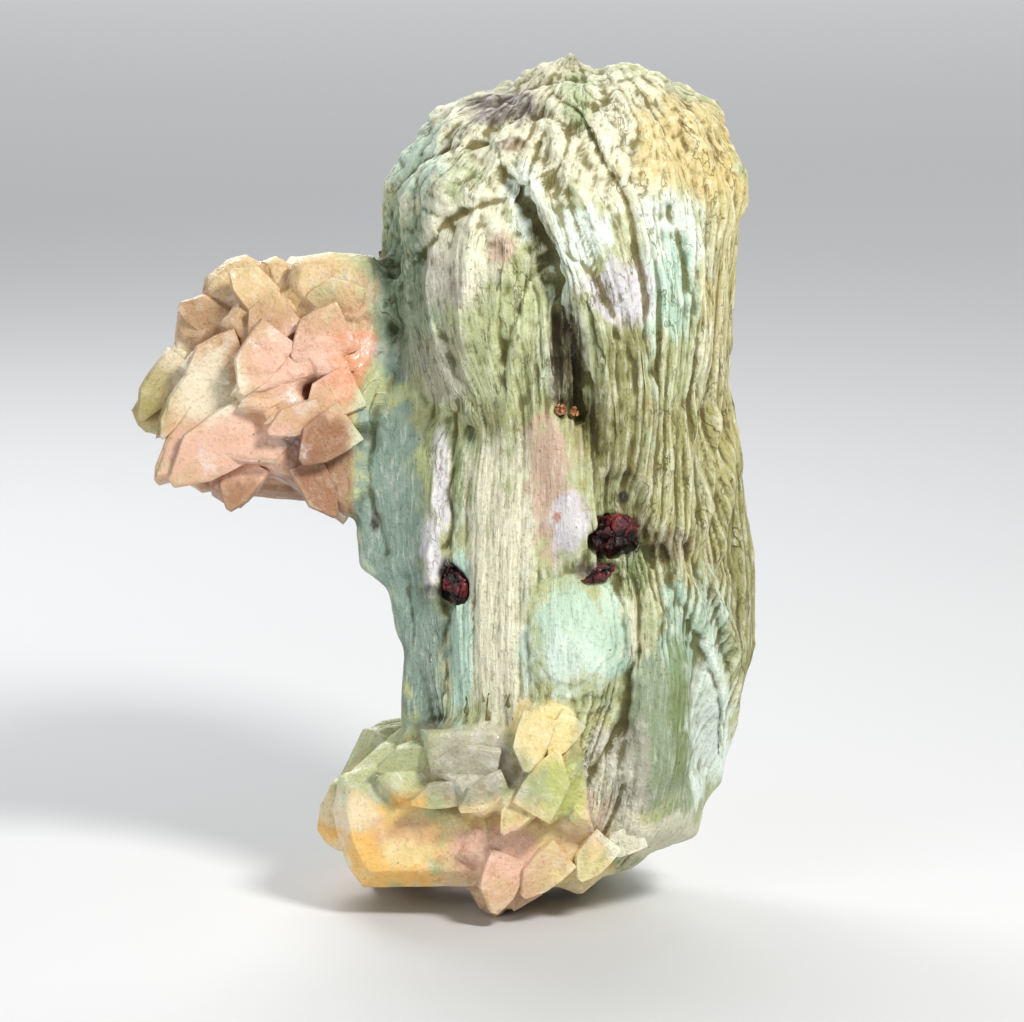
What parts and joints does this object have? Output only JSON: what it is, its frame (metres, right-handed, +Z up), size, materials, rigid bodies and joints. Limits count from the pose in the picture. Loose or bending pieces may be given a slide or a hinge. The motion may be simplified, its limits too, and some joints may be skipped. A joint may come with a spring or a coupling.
{
  "type": "heulandite crystal specimen",
  "caption": "Upright sheaf of curved green crystal blades with a crumpled crown, a side cluster of peach wedges, a blocky yellow foot and dark red grains.",
  "frame": {"origin": "middle of the bounding box, on the plane that the specimen stands on", "axes": "+Z up, the front with the cleft and the red grains faces -Y, the side cluster is towards -X"},
  "size_m": [0.0634, 0.0414, 0.0848],
  "materials": {
    "heulandite": "pale green, cream and peach, satin with pearly faces",
    "red_mineral": "dark red, dull with glossy spots",
    "orange_mineral": "orange-brown, vitreous"
  },
  "bodies": {
    "root": {"heulandite_cluster": "heulandite", "red_grain_right": "red_mineral", "red_grain_right_small": "red_mineral", "red_grain_left": "red_mineral", "orange_grain_left": "orange_mineral", "orange_grain_right": "orange_mineral"}
  },
  "joints": []
}
